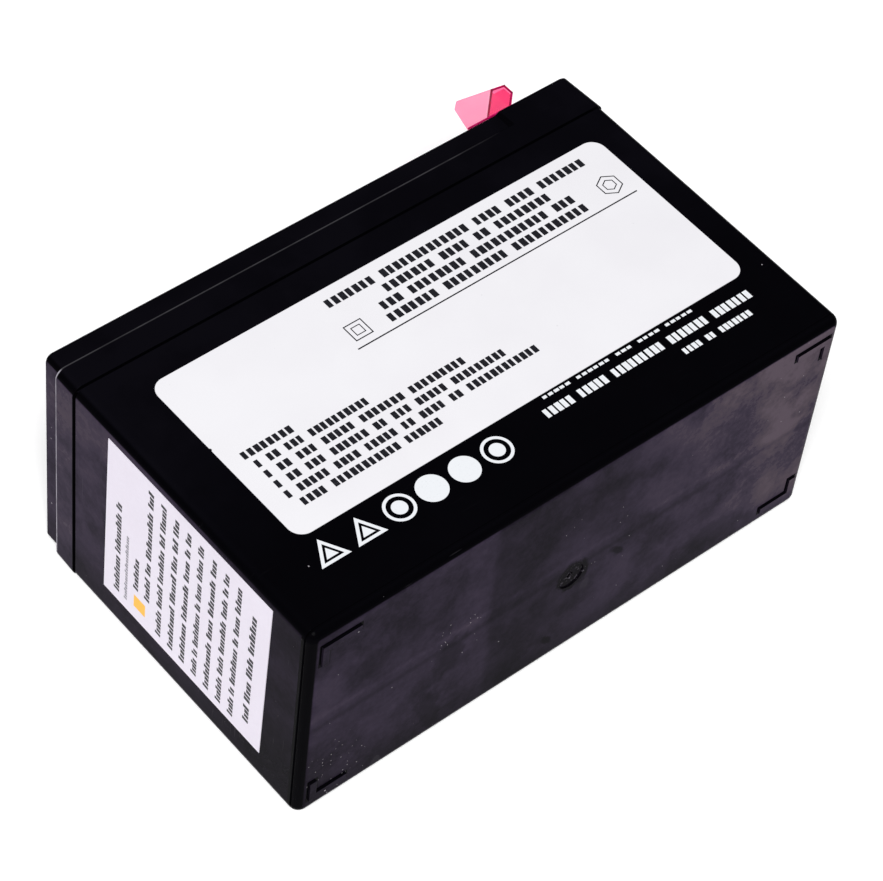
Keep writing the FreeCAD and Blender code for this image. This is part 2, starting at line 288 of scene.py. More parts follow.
def mottle(t, grain):
    slow = t.plus(t.step(grain["Cloud"], 0.0, 1.0, 0.0, shell["cloud"]),
                  t.step(grain["Flow"], 0.0, 1.0, 0.0, shell["flow"]))
    return t.plus(slow, shell["plain"], t.step(grain["Fine"], 0.0, 1.0, -shell["fine"], shell["fine"]))


def makeShell(name, edge, strength, highlightAndWear, extraDust=None):
    # black moulded plastic: near black where polished, with a dull purple bloom elsewhere.
    # strength tells how thick the bloom lies and the next argument how bright the painted highlight along the
    # edges is
    material, t, shader = newMaterial(name)
    place = objectPlace(t)
    soft = useGroup(t, edgeSoft, Radius=edge)
    grain = useGroup(t, mouldGrain, Position=place)
    scratch = useGroup(t, hairlines, Position=place, Amount=shell["scratches"])["Mask"]
    parts = t.split(place)[0:3]
    y = parts[1]
    normal = t.add("ShaderNodeTexCoord").outputs["Normal"]
    facing = t.split(normal)
    sides = t.split(t.vector("ABSOLUTE", normal))
    flat = t.step(t.most(sides[0], sides[1], sides[2]), 0.93, 0.985)
    polished = t.step(facing[2], 0.75, 0.95)
    dull = t.step(polished, 0.0, 1.0, 1.0, 0.0)
    # clear is nought in the seams: a painted shade that leaves them near black
    clear = seamShadeMask(t, y)

    bloom = t.times(strength(t, place, parts, facing), mottle(t, grain), flat, clear, dull)
    # painted sheen on the polished top, stronger towards the lid
    upper = t.times(polished, t.step(y, -0.03, 0.02, 0.25, 1.0), t.step(grain["Cloud"], 0.0, 1.0, 0.6, 1.0))
    lying = t.blend(t.step(bloom, 0.25, 0.8), shell["thin"], shell["bloom"])
    colour = t.blend(bloom, shell["colour"], lying)
    colour = t.blend(upper, colour, shell["sheen"])

    # painted highlight along the moulded edges
    worn = t.times(soft["Edge"], clear, highlightAndWear(t, parts))
    colour = t.blend(worn, colour, shell["highlightAndWear"])
    shown = t.step(polished, 0.0, 1.0, shell["scratchDull"], shell["scratchPolished"])
    colour = t.blend(t.times(scratch, clear, shown), colour, shell["highlightAndWear"])

    amount = t.times(t.step(polished, 0.0, 1.0, shell["strewn"], shell["strewnPolished"]),
                     t.step(grain["Cloud"], 0.3, 1.0, 0.3, 1.0))
    if extraDust is not None:
        amount = t.plus(amount, extraDust(t, place))
    specks = useGroup(t, dust, Position=place, Amount=amount, Size=shell["dustSize"])["Mask"]
    colour = t.blend(t.times(specks, clear, shell["dustCover"]), colour, shell["dust"])

    rough = t.step(bloom, 0.0, 1.0, shell["gloss"], shell["bloomGloss"])
    rough = t.math("ADD", rough, t.times(t.plus(scratch, specks), shell["dulled"]), clamp=True)
    t.feed(shader, "Base Color", colour)
    t.feed(shader, "Roughness", rough)
    t.feed(shader, "Normal", bump(t, grain["Height"], shell["grainStrength"], shell["grain"], soft["Normal"]))
    shader.inputs["IOR"].default_value = shell["ior"]
    return material, t, shader


lid = {
    "ends": (0.30, 0.56), "endsReach": 0.024, "bandTone": 0.84, "thinnest": 0.16,
    # worn sets how bright the painted highlight along the edges is
    "worn": 0.45,
    "ledge": 0.04125, "ledgeHalf": 0.00030, "ledgeEnd": (0.030, 0.050),
    "line": (0.052, 0.050, 0.056, 1), "endLine": (0.38, 0.36, 0.41, 1),
    "runOut": 0.0545, "runOutHalf": 0.0045, "runOutSoft": 0.002,
}


def lidBloom(t, place, parts, facing):
    y, z = parts[1:3]
    ends = t.step(t.math("ABSOLUTE", facing[0]), 0.8, 0.95)
    # painted shade: the ends of the lid darken towards the table
    upwards = t.step(z, 0.0, lid["endsReach"], *lid["ends"])
    band = t.step(y, lid["ledge"] - 0.00005, lid["ledge"] + 0.00035, 1.0, lid["bandTone"])
    return t.most(t.times(ends, upwards, band), lid["thinnest"])


def lidEdgeHighlight(t, parts):
    # no painted edge highlight where the step runs out into the full width block
    away = t.away(parts[0], lid["runOut"])
    return t.times(t.step(away, lid["runOutHalf"], lid["runOutHalf"] + lid["runOutSoft"]), lid["worn"])


def makeLidMaterial():
    material, t, shader = makeShell("lidAbs", shell["lidEdge"], lidBloom, lidEdgeHighlight)
    colour = shader.inputs["Base Color"].links[0].from_socket
    place = objectPlace(t)
    x, y, z = t.split(place)[0:3]
    facing = t.split(t.add("ShaderNodeTexCoord").outputs["Normal"])
    # bright line where the rim of the skirt band catches the light
    patchy = t.step(t.noise(place, 180.0, 3.0, 0.6), 0.35, 0.60, 0.55, 1.0)
    line = t.times(t.line(y, lid["ledge"], lid["ledgeHalf"]), patchy, t.step(facing[1], 0.9, 0.6))
    onEnd = t.step(x, -0.0735, -0.0745)
    onFront = t.times(t.step(z, 0.0630, 0.0640), t.step(x, lid["ledgeEnd"][1], lid["ledgeEnd"][0]))
    colour = t.blend(t.times(line, onFront), colour, lid["line"])
    colour = t.blend(t.times(line, onEnd), colour, lid["endLine"])
    t.feed(shader, "Base Color", colour)
    return material


base = {
    "level": -0.0465,
    "gate": (0.0004, -0.0465, 0.0283), "gateRadius": 0.0048,
    "ragged": 0.0075, "smudge": 0.9, "chipped": 0.9,
    "dark": (0.0014, 0.0011, 0.0018, 1), "chip": (0.10, 0.09, 0.11, 1),
    "foot": (0.0102, 0.0064, 0.0018), "footEnd": 0.003, "footSide": 0.0045, "rootShadeWide": 0.0005,
    "leftTone": 0.32, "midTone": (0.205, 0.35), "rightTone": 0.98,
    "leftEdge": -0.024, "leftSoft": 0.0015,
    "rightEdge": 0.034, "rightSoft": 0.0006, "rightLean": 0.6,
    "midLine": 0.0325, "lineGap": 0.0018, "lineHalf": 0.0017, "pale": 0.30, "deep": 0.34,
    # low is a painted shade along the edge that rests on the table
    "low": 0.50,                       # tone along the edge that rests on the table
    # worn sets how bright the painted highlight along the edges is
    "ends": (0.15, 0.46), "rest": 0.12, "worn": 0.40,
    # x, z, radius and thickness of each sprinkling of dust
    "crowded": [(-0.066, 0.014, 0.010, 0.60), (-0.062, 0.006, 0.008, 0.45), (-0.037, 0.0355, 0.0055, 0.60),
                (-0.030, 0.035, 0.004, 0.45), (-0.002, 0.049, 0.005, 0.25), (0.014, 0.040, 0.004, 0.20),
                (0.0004, 0.0283, 0.007, 0.25), (0.060, 0.044, 0.012, 0.12)],
    # x, z, half width, half height, turn and depth of tone of each stain
    "stains": [(-0.0350, 0.0265, 0.0042, 0.0078, 12, 0.50), (-0.0390, 0.0105, 0.0036, 0.0085, -14, 0.55),
               (-0.0050, 0.0085, 0.0030, 0.0012, 52, 0.75), (0.0140, 0.0270, 0.0030, 0.0010, 48, 0.70),
               (0.0100, 0.0500, 0.0100, 0.0050, 8, 0.25), (-0.0560, 0.0420, 0.0080, 0.0040, -20, 0.25),
               (0.0470, 0.0090, 0.0110, 0.0050, 10, 0.40)],
}


def footRootShade(t, x, z):
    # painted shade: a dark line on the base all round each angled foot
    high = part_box("case")[1]
    long, short, wide = base["foot"]
    inward = t.minus(high.x - base["footEnd"], t.math("ABSOLUTE", x))
    across = t.minus(high.z / 2 - base["footSide"], t.away(z, high.z / 2))
    near = []
    for wideX, wideZ in ((long, wide), (wide, short)):
        u = t.minus(t.away(inward, wideX / 2), wideX / 2)
        w = t.minus(t.away(across, wideZ / 2), wideZ / 2)
        near.append(t.most(u, w))
    return t.step(t.math("MINIMUM", *near), base["rootShadeWide"], base["rootShadeWide"] + 0.0002)


def stained(t, place):
    # what is left of the bloom after uneven wiping
    rough = t.times(t.centred(t.noise(place, 240.0, 4.0, 0.65)), 2.2)
    left = 1.0
    for x, z, wide, high, turn, depth in base["stains"]:
        away = t.oval(place, (x, base["level"], z), (wide, 1.0, high), turn)
        left = t.times(t.step(t.plus(away, rough), 0.55, 1.25, 1.0 - depth, 1.0), left)
    return left


def baseTone(t, x, z):
    # three fields: even, then rising slowly, then much paler towards the far end
    flatPlace = t.add("ShaderNodeCombineXYZ", i0=x, i2=z).outputs[0]
    drift = t.times(t.centred(t.noise(flatPlace, 34.0, 3.0)), 0.012)
    along = t.plus(x, drift)
    middle = t.step(along, base["leftEdge"], base["rightEdge"], *base["midTone"])
    edge = t.step(t.plus(x, t.times(drift, 0.5)),
                  base["leftEdge"] - base["leftSoft"], base["leftEdge"] + base["leftSoft"])
    tone = t.plus(t.times(edge, middle), t.times(t.minus(1.0, edge), base["leftTone"]))
    leaning = t.plus(along, t.times(t.minus(z, 0.045), base["rightLean"]))
    far = t.step(leaning, 0.024, 0.056, 0.0, base["rightTone"] - base["midTone"][1])
    border = t.step(x, base["rightEdge"] - base["rightSoft"],
                    base["rightEdge"] + base["rightSoft"], 0.55, 1.0)
    return t.plus(tone, t.times(far, border))


def caseBloom(t, place, parts, facing):
    # paler on the base towards one end and on the ends towards the lid; darker near the table and round the
    # feet, a painted shade
    x, y, z = parts
    under = t.step(t.math("MULTIPLY", facing[1], -1.0), 0.7, 0.9)
    ends = t.step(t.math("ABSOLUTE", facing[0]), 0.8, 0.95)
    # a light and a dark line run along the middle
    above = t.line(z, base["midLine"] + base["lineGap"], base["lineHalf"])
    below = t.line(z, base["midLine"] - base["lineGap"], base["lineHalf"])
    shade = t.plus(1.0, t.minus(t.times(above, base["pale"]), t.times(below, base["deep"])))
    # painted shade: the base darkens towards the edge that rests on the table
    low = t.step(z, 0.002, 0.014, base["low"], 1.0)
    # painted shade: the sides of the feet and the base round them lose their bloom and show dark
    onFeet = t.step(y, base["level"] - 0.0002, base["level"] - 0.0003)
    rootShade = t.most(footRootShade(t, x, z), onFeet)
    onBase = t.times(under, baseTone(t, x, z), low, shade, rootShade, stained(t, place))
    # painted shade: the ends darken towards the table
    onEnds = t.times(ends, t.step(y, -0.046, 0.030, *base["ends"]), t.step(z, 0.0, 0.030, 0.32, 1.0))
    rest = t.times(t.step(facing[1], -0.5, 0.5, 1.0, 0.5),
                   t.step(y, base["level"], base["level"] + 0.0001), base["rest"])
    return t.most(onBase, onEnds, rest)


def caseEdgeHighlight(t, parts):
    # no painted edge highlight on the sides of the feet or at their roots, so they stay dark
    return t.step(parts[1], base["level"] - 0.0001, base["level"] + 0.0006, 0.0, base["worn"])


def caseDust(t, place):
    total = 0.0
    for x, z, radius, amount in base["crowded"]:
        near = t.spot(place, (x, base["level"], z), radius * 0.2, radius)
        total = t.most(total, t.times(near, amount))
    return total


def makeCaseMaterial():
    material, t, shader = makeShell("caseAbs", shell["edge"], caseBloom, caseEdgeHighlight, caseDust)
    place = objectPlace(t)
    colour = shader.inputs["Base Color"].links[0].from_socket
    # scuffed patch round the moulding gate
    ragged = t.times(t.centred(t.noise(place, 190.0, 4.0, 0.6)), base["ragged"])
    away = t.plus(t.distance(place, base["gate"]), ragged)
    smudge = t.step(away, base["gateRadius"] + 0.0003, base["gateRadius"] - 0.0009)
    smudge = t.times(smudge, t.step(t.noise(place, 520.0, 3.0, 0.6), 0.28, 0.46, 0.72, 1.0))
    colour = t.blend(t.times(smudge, base["smudge"]), colour, base["dark"])
    chips = t.times(t.step(t.noise(place, 900.0, 3.0, 0.7), 0.60, 0.66), t.step(away, 0.0046, 0.0020))
    colour = t.blend(t.times(chips, base["chipped"]), colour, base["chip"])
    t.feed(shader, "Base Color", colour)
    return material


coatedIor = 1.2  # printed film, paper, ink and the cut edges of the guard

film = {
    "colour": (0.810, 0.803, 0.832, 1), "shade": (0.785, 0.775, 0.806, 1), "rough": 0.36,
    "specks": 0.010, "speckSize": 900.0, "speckColour": (0.35, 0.34, 0.36, 1),
    "nick": (-0.0618, 0.0049, 0.06485), "nickRadius": 0.00034, "nickColour": (0.01, 0.01, 0.012, 1),
}


def makeFilmMaterial():
    material, t, shader = newMaterial("labelFilm")
    place = objectPlace(t)
    cloud = t.noise(place, 45.0, 4.0, 0.5)
    fibre = t.noise(place, 2600.0, 2.0, 0.6)
    specks = useGroup(t, dust, Position=place, Amount=film["specks"], Size=film["speckSize"])["Mask"]
    nick = t.spot(place, film["nick"], film["nickRadius"], 0.0002)
    colour = t.blend(t.step(cloud, 0.3, 0.7), film["colour"], film["shade"])
    colour = t.blend(t.times(specks, 0.3), colour, film["speckColour"])
    colour = t.blend(nick, colour, film["nickColour"])
    t.feed(shader, "Base Color", colour)
    t.feed(shader, "Roughness", t.step(cloud, 0.3, 0.7, film["rough"], film["rough"] + 0.1))
    wave = t.plus(t.times(fibre, 0.12), cloud)
    t.feed(shader, "Normal", bump(t, wave, 0.25, 0.00003, useGroup(t, edgeSoft, Radius=0.00006)["Normal"]))
    shader.inputs["IOR"].default_value = coatedIor
    return material


paper = {"colour": (0.695, 0.655, 0.735, 1), "shade": (0.625, 0.585, 0.655, 1)}


def makePaperMaterial():
    material, t, shader = newMaterial("labelPaper")
    place = objectPlace(t)
    fibre = t.noise(t.stretched(place, (1, 1, 2.5)), 1400.0, 4.0, 0.7)
    cloud = t.noise(place, 60.0, 3.0, 0.5)
    colour = t.blend(t.step(fibre, 0.3, 0.75, 0.0, 0.4), paper["colour"], paper["shade"])
    colour = t.blend(t.step(cloud, 0.45, 0.8, 0.0, 0.3), colour, paper["shade"])
    t.feed(shader, "Base Color", colour)
    t.feed(shader, "Roughness", t.step(fibre, 0.2, 0.8, 0.55, 0.75))
    wave = t.plus(t.times(fibre, 0.2), cloud)
    t.feed(shader, "Normal", bump(t, wave, 0.35, 0.00005))
    shader.inputs["IOR"].default_value = coatedIor
    return material


def makeInk(name, colour, worn, rough=0.4):
    # printed ink, slightly patchy where the film shows through
    material, t, shader = newMaterial(name)
    place = objectPlace(t)
    patch = t.step(t.noise(place, 1900.0, 3.0, 0.6), 0.54, 0.76, 0.0, 0.45)
    t.feed(shader, "Base Color", t.blend(patch, colour, worn))
    t.feed(shader, "Roughness", t.step(patch, 0.0, 0.45, rough, rough + 0.15))
    shader.inputs["IOR"].default_value = coatedIor
    return material


def makeMetal(name, colour, dull, rough, metallic=1.0, lengthwise=(1, 1, 1), scale=900.0, depth=0.00002):
    material, t, shader = newMaterial(name)
    place = objectPlace(t)
    streak = t.noise(t.stretched(place, lengthwise), scale, 4.0, 0.6)
    cloud = t.noise(place, 160.0, 3.0, 0.6)
    soft = useGroup(t, edgeSoft, Radius=0.00012)
    colour = t.blend(t.step(cloud, 0.35, 0.7, 0.0, 0.8), colour, dull)
    colour = t.blend(t.times(soft["Edge"], 0.3), colour, (0.85, 0.85, 0.84, 1))
    t.feed(shader, "Base Color", colour)
    t.feed(shader, "Metallic", metallic)
    t.feed(shader, "Roughness", t.step(streak, 0.25, 0.75, rough, rough + 0.2))
    t.feed(shader, "Normal", bump(t, streak, 0.3, depth, soft["Normal"]))
    return material


def makeMatte(name, colour, shade, scale, depth, rough, lengthwise=(1, 1, 1)):
    # rubber, resin, lead paste and glass mat differ in grain and depth only
    material, t, shader = newMaterial(name)
    place = t.stretched(objectPlace(t), lengthwise)
    grain = t.noise(place, scale, 5.0, 0.65)
    cloud = t.noise(place, scale * 0.08, 3.0, 0.5)
    specks = useGroup(t, dust, Position=place, Amount=0.08)["Mask"]
    colour = t.blend(t.step(grain, 0.3, 0.7), colour, shade)
    colour = t.blend(t.times(t.step(cloud, 0.4, 0.7), 0.4), colour, shade)
    colour = t.blend(t.times(specks, 0.3), colour, (0.4, 0.4, 0.4, 1))
    t.feed(shader, "Base Color", colour)
    t.feed(shader, "Roughness", t.step(grain, 0.3, 0.7, rough, rough + 0.15))
    t.feed(shader, "Normal", bump(t, grain, 0.5, depth, useGroup(t, edgeSoft, Radius=0.0002)["Normal"]))
    return material


finishes = {
    "black_abs": makeLidMaterial(),
    "case": makeCaseMaterial(),
    "printed_film": makeFilmMaterial(),
    "paper_label": makePaperMaterial(),
    "black_epoxy": makeMatte("sealBlack", (0.010, 0.010, 0.012, 1), (0.022, 0.021, 0.024, 1),
                             700.0, 0.00003, 0.28),
    "red_epoxy": makeMatte("sealRed", (0.36, 0.012, 0.014, 1), (0.24, 0.008, 0.010, 1),
                           700.0, 0.00003, 0.28),
    "valve_rubber": makeMatte("valveRubber", (0.020, 0.020, 0.021, 1), (0.034, 0.033, 0.034, 1),
                              1600.0, 0.00003, 0.6),
    "tinned_brass": makeMetal("bladeTin", (0.72, 0.71, 0.68, 1), (0.52, 0.50, 0.46, 1),
                              0.24, 1.0, (1, 0.12, 1)),
    "positive_lead": makeMatte("positivePaste", (0.10, 0.055, 0.035, 1), (0.17, 0.10, 0.065, 1),
                               900.0, 0.00012, 0.7),
    "negative_lead": makeMatte("negativePaste", (0.20, 0.21, 0.22, 1), (0.33, 0.34, 0.36, 1),
                               900.0, 0.00012, 0.65),
    "weld_lead": makeMetal("weldLead", (0.40, 0.41, 0.44, 1), (0.26, 0.27, 0.29, 1),
                           0.42, 0.9, (1, 1, 1), 500.0, 0.00008),
    "glass_mat": makeMatte("glassMat", (0.74, 0.74, 0.72, 1), (0.60, 0.60, 0.58, 1),
                           2400.0, 0.00010, 0.8, (1, 0.3, 1)),
}
inks = {
    "dark": makeInk("inkDark", (0.014, 0.014, 0.018, 1), (0.06, 0.06, 0.07, 1)),
    "grey": makeInk("inkGrey", (0.24, 0.23, 0.26, 1), (0.36, 0.35, 0.38, 1)),
    "white": makeInk("inkWhite", (0.78, 0.80, 0.83, 1), (0.62, 0.64, 0.67, 1), 0.35),
    "amber": makeInk("inkAmber", (0.82, 0.44, 0.05, 1), (0.72, 0.40, 0.09, 1)),
}


def finishPiece(name, mesh, material, lay=None):
    if lay is not None:
        bmesh.ops.transform(mesh, matrix=lay, verts=mesh.verts)
    # raised faces come in any order, so they are put in a fixed one
    for number, face in enumerate(sorted(mesh.faces, key=lambda face: face.calc_center_median()[:])):
        face.index = number
    mesh.faces.sort()
    data = bpy.data.meshes.new(name)
    mesh.to_mesh(data)
    mesh.free()
    for face in data.polygons:
        face.use_smooth = False
    data.materials.append(material)
    piece = bpy.data.objects.new(name, data)
    bpy.context.scene.collection.objects.link(piece)
    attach(piece, "root")
    return piece


guard = {
    "flap": (0.985, 0.355, 0.515, 1), "hood": (0.985, 0.255, 0.46, 1), "cloudy": (0.96, 0.25, 0.43, 1),
    "edgeOn": (0.975, 0.10, 0.27, 1), "wall": 0.0006,
    "fold": (0.42, 0.002, 0.075, 1), "foldLight": (0.52, 0.006, 0.12, 1),
    "foldWide": 0.00036, "footShadeWide": 0.00034, "sunk": 0.00002, "cut": 0.0032,
    "inner": 0.00185, "outer": 0.0018, "slope": 0.0006, "rise": 0.0012,
    "rim": 0.0003, "visorRim": 0.0035, "step": 0.0061, "bladeHalf": 0.0004,
    "ior": 1.03, "clear": 0.94,
}


def guardSizes():
    # where the sheet folds, found from the blade it covers and the top of the lid
    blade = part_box("positive_blade")
    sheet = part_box("terminal_guard")
    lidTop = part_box("lid")[1].y
    middle = blade[0].x + guard["bladeHalf"]
    return {
        "left": middle - guard["inner"],
        "right": middle + guard["outer"],
        "peak": blade[1].y + guard["rise"],
        "rim": lidTop + guard["rim"],
        "visor": lidTop + guard["visorRim"],
        "step": (blade[0].z + blade[1].z) / 2 + guard["step"],
        "foot": sheet[0].x,
        "back": sheet[0].z,
        "front": sheet[1].z,
    }


def makeGuardMaterial():
    # clear pink sheet, deeper over the hood where it lies double
    size = guardSizes()
    material, t, shader = newMaterial("guardPvc")
    place = objectPlace(t)
    x, y = t.split(place)[0:2]
    cloud = t.noise(place, 260.0, 3.0, 0.5)
    onHood = t.step(x, size["left"] - 0.0001, size["left"])
    colour = t.blend(onHood, guard["flap"], guard["hood"])
    # the top and side walls are seen through their whole depth
    fall = guard["slope"] / (size["right"] - size["left"])
    top = t.plus(y, t.times(t.minus(x, size["left"]), fall))
    inner = size["right"] - guard["wall"]
    roof = size["peak"] - guard["wall"]
    walls = t.most(t.step(x, inner, inner + 0.0001), t.step(top, roof, roof + 0.0001))
    colour = t.blend(t.times(walls, onHood), colour, guard["edgeOn"])
    colour = t.blend(t.step(cloud, 0.35, 0.7, 0.0, 0.2), colour, guard["cloudy"])
    t.feed(shader, "Base Color", colour)
    t.feed(shader, "Roughness", t.step(t.noise(place, 900.0, 2.0), 0.3, 0.7, 0.02, 0.06))
    t.feed(shader, "Normal", bump(t, cloud, 0.08, 0.00004))
    shader.inputs["Transmission Weight"].default_value = guard["clear"]
    shader.inputs["IOR"].default_value = guard["ior"]
    return material


def makeFoldMaterial():
    # the sheet seen on edge is far deeper in colour
    material, t, shader = newMaterial("guardFold")
    place = objectPlace(t)
    cloud = t.noise(place, 700.0, 3.0, 0.5)
    t.feed(shader, "Base Color", t.blend(t.step(cloud, 0.4, 0.7), guard["fold"], guard["foldLight"]))
    t.feed(shader, "Roughness", t.step(cloud, 0.3, 0.7, 0.18, 0.30))
    shader.inputs["IOR"].default_value = coatedIor
    return material


def layStrip(mesh, start, stop, wide):
    # square bar between two points, its outer sides flush with the faces of the sheet
    start, stop = Vector(start), Vector(stop)
    along = (stop - start).to_track_quat("X", "Z").to_matrix().to_4x4()
    size = Matrix.Diagonal(((stop - start).length + wide, wide, wide, 1))
    place = Matrix.Translation((start + stop) / 2) @ along @ size
    bmesh.ops.create_cube(mesh, size=1.0, matrix=place)


def makeGuard():
    mesh = bmesh.new()
    mesh.from_mesh(nodes["terminal_guard"].data)
    bmesh.ops.remove_doubles(mesh, verts=mesh.verts, dist=0.000002)
    bmesh.ops.dissolve_limit(mesh, angle_limit=math.radians(1.5), verts=mesh.verts, edges=mesh.edges)
    bmesh.ops.recalc_face_normals(mesh, faces=mesh.faces)
    piece = finishPiece("guard_sheet", mesh, makeGuardMaterial())
    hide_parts("terminal_guard")


def makeGuardFolds():
    size = guardSizes()
    wide = guard["foldWide"]
    inset = wide / 2 - guard["sunk"]
    front = size["front"] - inset
    left, right = size["left"] + inset, size["right"] - inset
    peak = size["peak"] - inset
    shoulder = peak - guard["slope"]
    visor = size["visor"] + inset
    rim = size["rim"] + inset
    mesh = bmesh.new()
    layStrip(mesh, (left, peak, front), (left, peak, size["back"] + inset), wide)
    layStrip(mesh, (left, peak, front), (right, shoulder, front), wide)
    layStrip(mesh, (right, shoulder, front), (right, visor, front), wide)
    layStrip(mesh, (right, visor, front), (right, visor, size["step"]), wide)
    layStrip(mesh, (right, visor, front), (right - guard["cut"], rim, front), wide)
    # painted shade: a thin deep crimson bar along the foot of the sheet where it meets the lid
    thin = guard["footShadeWide"]
    layStrip(mesh, (size["foot"] + thin, rim, front), (right - guard["cut"], rim, front), thin)
    finishPiece("guard_folds", mesh, makeFoldMaterial())


def dressNodes():
    slots = {part["node"]: part["material_slot"] for part in frame["record"]["subparts"]}
    for name, node in nodes.items():
        if name == "terminal_guard":
            continue
        finish = finishes["case" if name == "case" else slots[name]]
        node.data.materials.clear()
        node.data.materials.append(finish)


dressNodes()
makeGuard()
makeGuardFolds()
print("materials made and given to the nodes")


def layBlock(mesh, left, low, wide, high, thick, slant=0.0):
    middle = Matrix.Translation((left + wide / 2, low + high / 2, thick / 2))
    size = Matrix.Diagonal((wide, high, thick, 1))
    made = bmesh.ops.create_cube(mesh, size=1.0, matrix=middle @ size)["verts"]
    if slant:
        lean = Matrix(((1, slant, 0, -slant * low), (0, 1, 0, 0), (0, 0, 1, 0), (0, 0, 0, 1)))
        bmesh.ops.transform(mesh, matrix=lean, verts=made)


# share of its pitch that a block fills, how much that varies, and how tall a short block is
rowLook = {"fill": 0.66, "vary": 0.035, "short": 0.72}


def layRow(mesh, start, stop, middle, high, words, ink, slant=0.0, mixed=False):
    # a row of plain blocks spaced like small print: words gives how many blocks stand together
    pitch = (stop - start) / (sum(words) + len(words) - 1)
    count = 0
    left = start
    for length in words:
        for place in range(length):
            wide = pitch * (rowLook["fill"] + rowLook["vary"] * ((count * 7) % 5))
            tall = high
            if mixed and place and (count * 5) % 7 not in (1, 4):
                tall = high * rowLook["short"]
            layBlock(mesh, left, middle - high / 2, wide, tall, ink, slant)
            left += pitch
            count += 1
        left += pitch


def layRing(mesh, x, y, outer, inner, thick, segments=40, turn=0.0):
    # few segments give a square, a triangle or a hexagon; inner of nought gives a filled one
    at = Matrix.Translation((x, y, 0)) @ Matrix.Rotation(math.radians(turn), 4, "Z")
    edge = bmesh.ops.create_circle(mesh, cap_ends=True, segments=segments, radius=outer, matrix=at)
    face = next(f for f in edge["verts"][0].link_faces)
    ring = [face]
    if inner > 0:
        wall = (outer - inner) * math.cos(math.pi / segments)
        ring = bmesh.ops.inset_region(mesh, faces=[face], thickness=wall,
                                      use_boundary=True, use_even_offset=True)["faces"]
        bmesh.ops.delete(mesh, geom=[face], context="FACES_ONLY")
    grown = bmesh.ops.extrude_face_region(mesh, geom=ring)["geom"]
    raised = [v for v in grown if isinstance(v, bmesh.types.BMVert)]
    bmesh.ops.translate(mesh, verts=raised, vec=(0, 0, thick))


sheetTurn = 0.3  # the film and what is printed on it sit this many degrees off square

frontPrint = {
    "thick": 0.02,
    "half": (0.0641, 0.0257),          # half sizes of the film, in metres
    # distance down, width of one block and blocks in each word
    "centred": [
        (4.2, 1.94, (7, 13, 4, 4, 7)),
        (7.9, 2.03, (7, 4, 2, 8)),
        (11.6, 2.02, (3, 8, 11, 3)),
        (15.3, 2.01, (7, 9, 11)),
    ],
    "centre": 83.2, "high": 2.4,
    "rule": (42.9, 124.8, 18.3, 0.35),                         # start, end, distance down and width
    "marks": ((46.5, 13.9, 3.3), (120.9, 13.3, 3.2)),          # place across, place down and size
    # start, end and blocks in each word
    "left": [
        (4.2, 17.8, (8,)),
        (5.2, 35.7, (1, 2, 3, 10)),
        (5.2, 59.9, (1, 2, 3, 5, 7, 9)),
        (5.2, 68.6, (1, 2, 3, 6, 2, 3, 5, 9)),
        (5.2, 75.2, (1, 5, 4, 5, 2, 4, 2, 12)),
        (6.8, 45.0, (4, 11, 6)),
    ],
    "leftTop": 27.2, "leftStep": 3.38, "leftHigh": 2.1,
}


def filmCorner():
    # top left corner of the film, turned with it
    low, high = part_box("front_label")
    middle = (low + high) / 2
    halfWide, halfHigh = frontPrint["half"]
    top = Matrix.Translation((middle.x, middle.y, high.z))
    turn = Matrix.Rotation(math.radians(sheetTurn), 4, "Z")
    return top @ turn @ Matrix.Translation((-halfWide, halfHigh, 0))


def makeFrontPrint():
    mesh = bmesh.new()
    ink = frontPrint["thick"]
    centre = frontPrint["centre"]
    for down, pitch, words in frontPrint["centred"]:
        reach = pitch * (sum(words) + len(words) - 1) / 2
        layRow(mesh, centre - reach, centre + reach, -down, frontPrint["high"], words, ink)
    start, stop, down, wide = frontPrint["rule"]
    layBlock(mesh, start, -down - wide / 2, stop - start, wide, ink)
    for place, (start, stop, words) in enumerate(frontPrint["left"]):
        middle = -frontPrint["leftTop"] - place * frontPrint["leftStep"]
        layRow(mesh, start, stop, middle, frontPrint["leftHigh"], words, ink)
    x, y, size = frontPrint["marks"][0]
    layRing(mesh, x, -y, size * 1.05, size * 0.93, ink, 4, 45)
    layRing(mesh, x, -y, size * 0.55, size * 0.45, ink, 4, 45)
    x, y, size = frontPrint["marks"][1]
    layRing(mesh, x, -y, size, size * 0.90, ink, 6)
    layRing(mesh, x, -y, size * 0.55, size * 0.46, ink, 6)
    finishPiece("front_print", mesh, inks["dark"], filmCorner() @ Matrix.Scale(mm, 4))


casePrint = {
    "thick": 0.02,
    # place across, place down and size; the rounds also say whether they are ringed
    "triangles": ((3.4, 5.9, 4.5), (13.1, 5.9, 4.5)),
    "rounds": ((22.6, 5.7, 3.7, True), (31.4, 5.7, 3.7, False),
               (40.3, 5.8, 3.6, False), (49.3, 5.8, 3.7, True)),
    # start, end, distance down, height and blocks in each word
    "bold": (64.0, 124.7, 4.4, 2.4, (5, 5, 9, 7, 7)),
    "small": (100.6, 121.0, 8.7, 1.7, (4, 2, 7)),
    "covered": (66.6, 110.6, 0.62, 0.75, (5, 6, 3, 4, 5)),
}


def makeCasePrint():
    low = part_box("front_label")[0]
    mesh = bmesh.new()
    ink = casePrint["thick"]
    for name in ("bold", "small", "covered"):
        start, stop, down, tall, words = casePrint[name]
        layRow(mesh, start, stop, -down, tall, words, ink)
    for x, down, size in casePrint["triangles"]:
        layRing(mesh, x, -down - size * 0.16, size, size * 0.66, ink, 3)
        layRing(mesh, x, -down - size * 0.16, size * 0.40, 0, ink, 3)
    for x, down, size, ringed in casePrint["rounds"]:
        layRing(mesh, x, -down, size, size * 0.80 if ringed else 0, ink)
        if ringed:
            layRing(mesh, x, -down, size * 0.50, 0, ink)
    corner = Matrix.Translation((low.x, low.y, low.z)) @ Matrix.Scale(mm, 4)
    finishPiece("case_print", mesh, inks["white"], corner)


